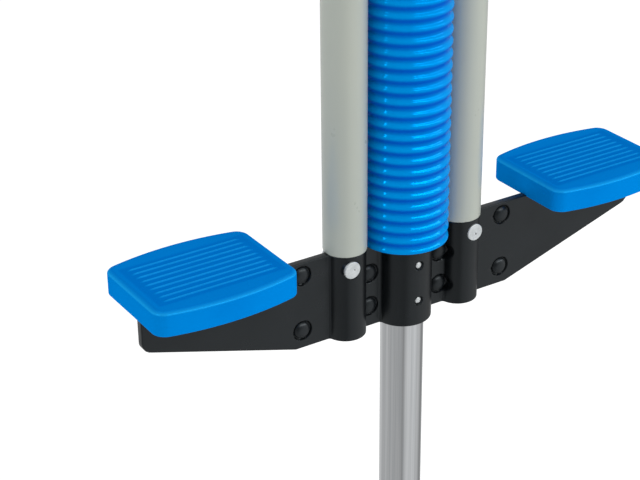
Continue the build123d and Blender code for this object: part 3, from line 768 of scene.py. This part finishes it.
def pedal_shape(side):
    """A moulded pedal: ribbed top in a shallow dish, rounded edges, side walls, hollow underneath."""
    low, high = box_mm("right_pedal")
    half_length = (high.x - low.x) / 2
    centre_x = (high.x + low.x) / 2
    # the long sides bow out in an arc of radius big, and the corners are arcs tangent to it
    corner, bow = 7.2, 5.2
    big = (half_length**2 + bow**2) / (2 * bow)
    drop = big - high.y
    corner_x = half_length - corner
    corner_y = math.sqrt((big - corner) ** 2 - corner_x**2) - drop
    lean = math.atan2(corner_x, corner_y + drop)
    touch_x = corner_x + corner * math.sin(lean)

    def half_width(x, inset):
        """Half the pedal's width at x, and the outward normal there, with the outline moved in."""
        ax = abs(x)
        split = corner_x + (corner - inset) * math.sin(lean)
        if ax <= split:
            radius = big - inset
            y = math.sqrt(radius**2 - ax**2)
            return y - drop, math.copysign(ax / radius, x) if ax else 0.0, y / radius
        radius = corner - inset
        dx = min(ax - corner_x, radius)
        y = math.sqrt(max(radius**2 - dx**2, 0.0))
        return corner_y + y, math.copysign(dx / radius, x), y / radius

    edge, edge_depth, edge_steps = 3.9, 2.0, 12
    top, bottom = high.z, low.z
    # columns, closer together at the corners
    reach = half_length - edge
    xs = list(np.linspace(-touch_x + 1.5, touch_x - 1.5, 54))
    radius = corner - edge
    tail = [corner_x + radius * math.sin(t) for t in np.linspace(0, math.pi / 2, 12)]
    tail = [x for x in tail if x > xs[-1] + 0.3]
    xs = [-t for t in tail[::-1]] + xs + tail
    xs[0], xs[-1] = -reach, reach
    rib_count, pitch, rib_half = 9, 4.43, 0.52
    start, stop = 84.6 - centre_x, 145.0 - centre_x
    rib_ys = [(k - (rib_count - 1) / 2) * pitch for k in range(rib_count)]
    rows = 180
    v = np.linspace(-1, 1, rows)
    grid = np.zeros((len(xs), rows, 3))
    for i, x in enumerate(xs):
        h = half_width(x, edge)[0]
        y = v * h
        z = np.zeros(rows)
        along = smooth_step(start - 0.4, start + 2.2, x)
        along = along * (1 - smooth_step(stop - 2.2, stop + 0.4, x))
        for ry in rib_ys:
            z = z + TREAD_HEIGHT * along * np.clip(1 - ((y - ry) / rib_half) ** 2, 0, 1) ** 0.7
        # a shallow dish: the rim stands a little above the field
        inside = smooth_step(start - 5.0, start - 2.0, x)
        inside = inside * (1 - smooth_step(stop + 2.0, stop + 5.0, x))
        across = np.clip((22.5 - np.abs(y)) / 2.5, 0, 1)
        z = z - DISH * inside * across * across * (3 - 2 * across)
        grid[i, :, 0], grid[i, :, 1], grid[i, :, 2] = x, y, z
    shape = Shape()
    # loop round the grid, with outward normals
    loop = []
    n = len(xs)
    for i in range(n - 1):
        h, nx, ny = half_width(xs[i], edge)
        loop.append((i * rows, (xs[i], -h), (nx, -ny)))
    for j in range(rows - 1):
        h = half_width(xs[-1], edge)[0]
        loop.append(((n - 1) * rows + j, (xs[-1], v[j] * h), (1.0, 0.0)))
    for i in range(n - 1, 0, -1):
        h, nx, ny = half_width(xs[i], edge)
        loop.append((i * rows + rows - 1, (xs[i], h), (nx, ny)))
    for j in range(rows - 1, 0, -1):
        h = half_width(xs[0], edge)[0]
        loop.append((j, (xs[0], v[j] * h), (-1.0, 0.0)))
    flat = np.array([p for _, p, _ in loop])
    normal = np.array([m for _, _, m in loop])
    normal /= np.linalg.norm(normal, axis=1)[:, None]
    wall, skin, foot = 3.2, 4.0, 0.7  # foot is the radius at the walls' lower edge
    levels = []
    for k in range(1, edge_steps + 1):
        t = k / edge_steps * math.pi / 2
        levels.append((edge * math.sin(t), -edge_depth * (1 - math.cos(t))))
    height = bottom - top
    for depth in np.linspace(-edge_depth, height + foot, 5)[1:]:
        levels.append((edge, depth))
    for k in range(1, 5):
        t = k / 4 * math.pi / 2
        levels.append((edge - foot * (1 - math.cos(t)), height + foot - foot * math.sin(t)))
    levels += [(edge - wall + 0.3, height), (edge - wall, height + 0.3), (edge - wall, -skin - 0.8),
               (edge - wall - 0.8, -skin)]
    # the inner wall is notched where it crosses the wing
    notch = np.where((np.abs(flat[:, 1]) < SHEET + 0.35) & (normal[:, 0] < -0.99), 1.0, 0.0)
    points = [grid.reshape(-1, 3)]
    faces = lattice(n, rows)
    base = n * rows
    size = len(loop)
    previous = [i for i, _, _ in loop]
    for out, z in levels:
        ring = np.concatenate([flat + normal * out, np.full((size, 1), z)], 1)
        lift = bracket_top + 0.05 - top
        ring[:, 2] = np.where((notch > 0) & (ring[:, 2] < lift), lift, ring[:, 2])
        points.append(ring)
        current = [base + k for k in range(size)]
        for k in range(size):
            m = (k + 1) % size
            faces.append([previous[k], previous[m], current[m], current[k]])
        previous = current
        base += size
    faces.append(previous[::-1])
    shape.add(np.concatenate(points), faces)
    points = np.array(shape.points)
    points[:, 0] = (points[:, 0] + centre_x) * side
    points[:, 2] += top
    shape.points = points.tolist()
    # screw bosses hang from the skin down to the flange
    for sx in (-SCREW_REACH, SCREW_REACH):
        for sy in (-SCREW_Y, SCREW_Y):
            boss = [(4.5, top - skin + 0.4), (4.5, bracket_top + 0.3), (4.2, bracket_top + SNUG),
                    (AXIS_RADIUS, bracket_top + SNUG)]
            shape.add_rings(turned(boss, 32, ((centre_x + sx) * side, sy, 0)))
    return shape


for side, name in SIDES:
    pedal_shape(side).build(
        f"{name}_foot_pedal", FRAME_BODY, blue_plastic, "blue_plastic", [f"{name}_pedal"], sharp=60
    )

screw_low = box_mm("pedal_screws")[0]
screw_seat, cross_depth = bracket_top - SHEET, 0.12
pedal_middle = sum(corner.x for corner in box_mm("right_pedal")) / 2
screws = Shape()
for side in (-1, 1):
    for sx in (pedal_middle - SCREW_REACH, pedal_middle + SCREW_REACH):
        for sy in (-SCREW_Y, SCREW_Y):
            cx = side * sx
            head = rounded(
                [(AXIS_RADIUS, screw_low.z), (2.4, screw_low.z), (4.0, screw_low.z + 1.2), (4.0, screw_seat),
                 (AXIS_RADIUS, screw_seat)],
                [1.0, 1.2, 0.2],
            )
            screws.add_rings(turned(head[::-1], 36, (cx, sy, 0)))
            # a raised cross on the head
            for w, l in ((0.45, 1.9), (1.9, 0.45)):
                z0 = screw_low.z - cross_depth
                bar = [(cx - w, sy - l), (cx + w, sy - l), (cx + w, sy + l), (cx - w, sy + l)]
                screws.add_rings([[(*p, z0) for p in bar], [(*p, z0 + 0.5) for p in bar]])
screws.build("pedal_screw_heads", FRAME_BODY, zinc_plain, "zinc", ["pedal_screws"])


# ---------------------------------------------------------------- grips and end caps
GRIP_STEPS, GRIP_ROUND = 60, 3.0  # GRIP_ROUND is the radius at a grip's ends
for side, name in SIDES:
    low, high = box_mm(f"{name}_grip")
    radius = (high.z - low.z) / 2
    inner, outer = (high.x, low.x) if side < 0 else (low.x, high.x)
    length = abs(outer - inner)
    body = []
    for k in range(GRIP_STEPS + 1):
        t = k / GRIP_STEPS
        swell = 0.35 * math.cos(4 * math.pi * (t - 0.5)) - 0.35
        to_end = min(t, 1 - t) * length
        shoulder = GRIP_ROUND - math.sqrt(max(GRIP_ROUND**2 - max(GRIP_ROUND - to_end, 0.0) ** 2, 0.0))
        body.append((radius + swell - shoulder, inner + side * t * length))
    bore = tube_radius + SNUG
    loop = [(bore, inner)] + body + [(bore, outer)]
    grip = Shape()
    grip.add_rings(turned(loop, 72, (0, 0, bar_height), axis="X"), closed=True)
    piece = grip.build(f"{name}_foam_grip", FRAME_BODY, foam, "foam", [f"{name}_grip"], sharp=60)

    low, high = box_mm(f"{name}_end_cap")
    tip = low.x if side < 0 else high.x
    cap_radius, plug_radius = 12.6, 9.78
    dip, rim, plug_end = tip - side * 0.35, tip - side * 3.0, tip - side * 16.0
    cap = rounded(
        [(AXIS_RADIUS, dip), (4.0, dip), (5.0, tip), (cap_radius, tip), (cap_radius, rim), (plug_radius, rim),
         (plug_radius, plug_end)],
        [0.6, 0.6, 1.4, 0.3, 0.2],
    )
    shape = Shape()
    shape.add_rings(turned(cap, 64, (0, 0, bar_height), axis="X"))
    shape.build(f"{name}_bar_cap", FRAME_BODY, black_plastic, "black_plastic", [f"{name}_end_cap"])


# ---------------------------------------------------------------- main spring
seat_top = box_mm("spring_seat")[1].z
washer_bottom = box_mm("upper_spring_washer")[0].z
coil_bottom, coil_top = seat_top + 0.35, washer_bottom
WIRE, COIL, TURNS, PER_TURN = 4.6, 14.6, 28, 44
steps = TURNS * PER_TURN
t = np.linspace(0, 1, steps + 1)
# the end turns lie closer together than the working turns
pitch = 0.45 + 0.55 * smooth_step(0.0, 0.06, t) * (1 - smooth_step(0.94, 1.0, t))
rise = np.concatenate([[0], np.cumsum((pitch[1:] + pitch[:-1]) / 2)])
height = coil_bottom + WIRE / 2 + (coil_top - coil_bottom - WIRE) * rise / rise[-1]
angle = t * TURNS * 2 * math.pi
centre = np.stack([COIL * np.cos(angle), COIL * np.sin(angle), height], -1)
travel = np.gradient(centre, axis=0)
travel /= np.linalg.norm(travel, axis=1)[:, None]
outward = np.stack([np.cos(angle), np.sin(angle), np.zeros_like(angle)], -1)
across = np.cross(travel, outward)
ring_angle = np.linspace(0, 2 * math.pi, 16, endpoint=False)
rings = centre[:, None, :] + WIRE / 2 * (
    np.cos(ring_angle)[None, :, None] * outward[:, None, :]
    + np.sin(ring_angle)[None, :, None] * across[:, None, :]
)
coil = Shape()
coil.add_rings(rings)
spring = coil.build("coil_spring", FRAME_BODY, spring_steel, "spring_steel", ["main_spring"])
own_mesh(spring)


# ---------------------------------------------------------------- shaft and foot
shaft_low, shaft_high = box_mm("shaft_tube")
shaft_radius = shaft_high.x
shaft_bore = shaft_radius - 1.5
LONGEST_STEP = 12  # distance between rings along the shaft
wall = rounded(
    [(shaft_bore, shaft_high.z - 20), (shaft_bore, shaft_high.z), (shaft_radius, shaft_high.z),
     (shaft_radius, shaft_low.z), (shaft_bore, shaft_low.z)],
    [0.3, 0.4, 0.4], 4,
)
shaft = Shape()
stretch = []
for a, b in zip(wall[:-1], wall[1:]):
    pieces = max(1, int(np.linalg.norm(b - a) / LONGEST_STEP))
    for k in range(pieces):
        stretch.append(a + (b - a) * k / pieces)
stretch.append(wall[-1])
shaft.add_rings(turned(stretch, 144))
shaft.build("chrome_shaft_tube", SHAFT_BODY, chrome, "chrome", ["shaft_tube"])

foot_high = box_mm("rubber_foot")[1]
foot_radius = foot_high.x
neck, foot_bore = 15.5, shaft_radius + SNUG
sole = [
    (AXIS_RADIUS, 2.2), (6.0, 2.2), (6.0, 0.0), (9.0, 0.0), (9.0, 2.2), (12.0, 2.2), (12.0, 0.0),
    (15.0, 0.0), (15.0, 2.2), (18.0, 2.2), (18.0, 0.0), (21.2, 0.0), (foot_radius, 1.8),
    (foot_radius, 9.0), (foot_radius - 1.6, 10.2), (neck + 1.6, 27.0), (neck, 30.0), (neck, 33.0),
    (neck - 0.9, 34.0), (neck - 0.9, 36.0), (neck, 37.0), (neck, 40.0), (neck - 0.9, 41.0),
    (neck - 0.9, 43.0), (neck, 43.6), (neck, foot_high.z), (foot_bore, foot_high.z),
    (foot_bore, foot_high.z - 6),
]
# the treads under the sole are crisp, and the boot above them is soft
radii = [0.3] * (len(sole) - 2)
radii[11:17] = [0.9, 1.6, 1.0, 2.0, 3.0, 0.6]
profile = rounded(sole, radii, 4)
foot = Shape()
foot.add_rings(turned(profile, 120))
foot.build("foot_boot", SHAFT_BODY, rubber, "rubber", ["rubber_foot"], sharp=50)


# ---------------------------------------------------------------- CAD nodes that are shown
for node, material in (
    ("lower_guide_bush", nylon),
    ("upper_guide_bush", nylon),
    ("topout_bumper", rubber),
    ("upper_spring_washer", zinc_plain),
    ("spring_seat", zinc_plain),
    ("shaft_collar", zinc_plain),
    ("cross_pin", zinc_plain),
    ("shaft_top_cap", black_plastic),
    ("foot_plate", zinc_plain),
):
    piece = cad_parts[node]
    piece.data.materials.clear()
    piece.data.materials.append(material)


# ---------------------------------------------------------------- floor, light and camera
floor_mesh = bpy.data.meshes.new("floor")
FLOOR = 6  # half its side, in metres
corners = [(-FLOOR, -FLOOR, 0), (FLOOR, -FLOOR, 0), (FLOOR, FLOOR, 0), (-FLOOR, FLOOR, 0)]
floor_mesh.from_pydata(corners, [], [(0, 1, 2, 3)])
floor = bpy.data.objects.new("floor", floor_mesh)
scene.collection.objects.link(floor)
paper = Paint("floor_paper", (0.86, 0.86, 0.86), 0.9, Specular_IOR_Level=0.1)
paper.set("Base Color", paper.mix(paper.uneven(3.0, 3.0, 0, 1), (0.85, 0.85, 0.85), (0.87, 0.87, 0.87)))
paper.bsdf.inputs["Emission Color"].default_value = (1, 1, 1, 1)
paper.bsdf.inputs["Emission Strength"].default_value = 0.49
floor_mesh.materials.append(paper.material)
floor.visible_glossy = False
floor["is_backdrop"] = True


def direction(azimuth, elevation):
    """Azimuth 0 is towards -Y and 90 towards +X, in degrees; elevation is above the floor."""
    a, e = math.radians(azimuth), math.radians(elevation)
    return Vector((math.sin(a) * math.cos(e), -math.cos(a) * math.cos(e), math.sin(e)))


# Brightness of the studio's surroundings by direction. The levels were fitted so that the object takes
# the tones of the photographed one; the closely spaced row is what the polished shaft reflects.
# Each row is (elevation, brightness at evenly spaced azimuths from -180 degrees).
SURROUNDINGS = [
    (-62, [0.31, 0.38, 0.36, 0.30]),
    (-27, [0.63, 0.62, 0.50, 0.46, 0.44, 0.54, 0.44, 0.41, 0.47, 0.41, 0.42, 0.41, 0.39, 0.27, 0.53,
           0.66, 0.67, 0.61, 0.71, 0.66, 0.54, 0.56, 0.40, 0.24, 0.29, 0.44, 0.53, 0.57, 0.60, 0.61]),
    (5, [0.68, 0.85, 0.86, 0.63, 0.21, 0.00, 0.24, 0.70, 0.82, 0.68, 0.62, 0.59]),
    (38, [0.47, 0.66, 0.78, 0.75, 0.47, 0.11, 0.18, 0.39, 0.47, 0.44, 0.40, 0.40]),
    (72, [0.70, 0.71, 0.70, 0.69, 0.70, 0.69]),
]
world = bpy.data.worlds.new("studio")
scene.world = world
world.use_nodes = True
world.cycles.sampling_method = "NONE"
tree = world.node_tree
tree.nodes.clear()


def world_node(kind, inputs=(), operation=None):
    node = tree.nodes.new(kind)
    if operation:
        node.operation = operation
    for key, value in inputs:
        if isinstance(value, bpy.types.NodeSocket):
            tree.links.new(value, node.inputs[key])
        else:
            node.inputs[key].default_value = value
    return node


def world_math(operation, a, b=0.0):
    return world_node("ShaderNodeMath", ((0, a), (1, b)), operation).outputs[0]


def fade(value, start, end):
    """0 at start, 1 at end, in a straight line between."""
    inputs = (("Value", value), ("From Min", start), ("From Max", end))
    return world_node("ShaderNodeMapRange", inputs).outputs[0]


coordinate = tree.nodes.new("ShaderNodeTexCoord").outputs["Generated"]
axes = world_node("ShaderNodeSeparateXYZ", ((0, coordinate),)).outputs
flipped_y = world_math("MULTIPLY", axes["Y"], -1.0)
azimuth_angle = world_math("ARCTAN2", axes["X"], flipped_y)
turn_share = world_math("ADD", world_math("DIVIDE", azimuth_angle, 2 * math.pi), 0.5)
height_angle = world_math("MULTIPLY", world_math("ARCSINE", axes["Z"]), 180 / math.pi)
total = 0.0
elevations = [row[0] for row in SURROUNDINGS]
for index, (elevation, levels) in enumerate(SURROUNDINGS):
    ramp = world_node("ShaderNodeValToRGB", ((0, turn_share),))
    stops = ramp.color_ramp.elements
    stops[0].position, stops[1].position = 0.0, 1.0
    for k in range(1, len(levels)):
        stops.new(k / len(levels))
    for k, stop in enumerate(stops):
        level = levels[k % len(levels)]
        stop.color = (level, level, level, 1.0)
    weight = 1.0
    if index > 0:
        weight = fade(height_angle, elevations[index - 1], elevation)
    if index < len(SURROUNDINGS) - 1:
        falling = fade(height_angle, elevations[index + 1], elevation)
        weight = world_math("MULTIPLY", weight, falling)
    total = world_math("ADD", total, world_math("MULTIPLY", weight, ramp.outputs[0]))


LAMP_TARGET = Vector((0.0, 0.0, 0.35))
LAMP_DISTANCE = 2.0


def sky_point(azimuth, elevation):
    """A point in the studio seen from the lamps' target."""
    return LAMP_TARGET + LAMP_DISTANCE * direction(azimuth, elevation)


def lamp(name, start, end, depth, radiance):
    """A soft tube-like lamp from one sky direction to another, facing the lower bracket."""
    p, q = sky_point(*start), sky_point(*end)
    data = bpy.data.lights.new(name, "AREA")
    data.shape, data.size, data.size_y = "RECTANGLE", (q - p).length, depth
    data.energy = radiance * data.size * depth * math.pi
    item = bpy.data.objects.new(name, data)
    scene.collection.objects.link(item)
    along = (q - p).normalized()
    back = ((p + q) / 2 - LAMP_TARGET).normalized()
    back = (back - back.dot(along) * along).normalized()
    turn = Matrix((along, back.cross(along), back)).transposed()
    item.matrix_world = Matrix.Translation((p + q) / 2) @ turn.to_4x4()


lamp("small_lamp", (-91, 34), (-86, 34), 0.30, 22.0)
lamp("strip_lamp_left", (-12, 39.5), (29, 30.5), 0.18, 12.5)
lamp("strip_lamp_right", (29, 30.5), (69, 15), 0.18, 9.0)
WHITE = (1, 1, 1, 1)
studio = world_node("ShaderNodeBackground", (("Color", WHITE), ("Strength", total)))
backdrop = world_node("ShaderNodeBackground", (("Color", WHITE), ("Strength", 1.0)))
# the camera sees a plain white backdrop; the object is lit by the surroundings
seen = tree.nodes.new("ShaderNodeLightPath").outputs["Is Camera Ray"]
choose = world_node("ShaderNodeMixShader", ((0, seen), (1, studio.outputs[0]), (2, backdrop.outputs[0])))
output = tree.nodes.new("ShaderNodeOutputWorld")
tree.links.new(choose.outputs[0], output.inputs["Surface"])

scene.view_settings.view_transform = "Standard"

CAMERA_YAW, CAMERA_PITCH, CAMERA_ROLL = -32.323, 26.969, -0.648
CAMERA_LENS = 94.87
CAMERA_FROM_BRACKET = Vector((-0.4407, -0.6188, 0.3809))
yaw, roll = math.radians(CAMERA_YAW), math.radians(CAMERA_ROLL)
back = direction(CAMERA_YAW, CAMERA_PITCH)
level_right = Vector((math.cos(yaw), math.sin(yaw), 0.0))
level_up = back.cross(level_right)
right = level_right * math.cos(roll) + level_up * math.sin(roll)
upward = back.cross(right)
camera_data = bpy.data.cameras.new("camera")
camera_data.lens = CAMERA_LENS
camera_data.sensor_width = 36.0
camera_data.clip_start = 0.01
HALF_PIXEL = 0.5 / 640
camera_data.shift_x, camera_data.shift_y = -HALF_PIXEL, HALF_PIXEL
camera = bpy.data.objects.new("camera", camera_data)
scene.collection.objects.link(camera)
place = Vector((0, 0, bracket_top * MM)) + CAMERA_FROM_BRACKET
camera.matrix_world = Matrix(
    [[right[i], upward[i], back[i], place[i]] for i in range(3)] + [[0, 0, 0, 1]]
)
scene.camera = camera

low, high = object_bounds()
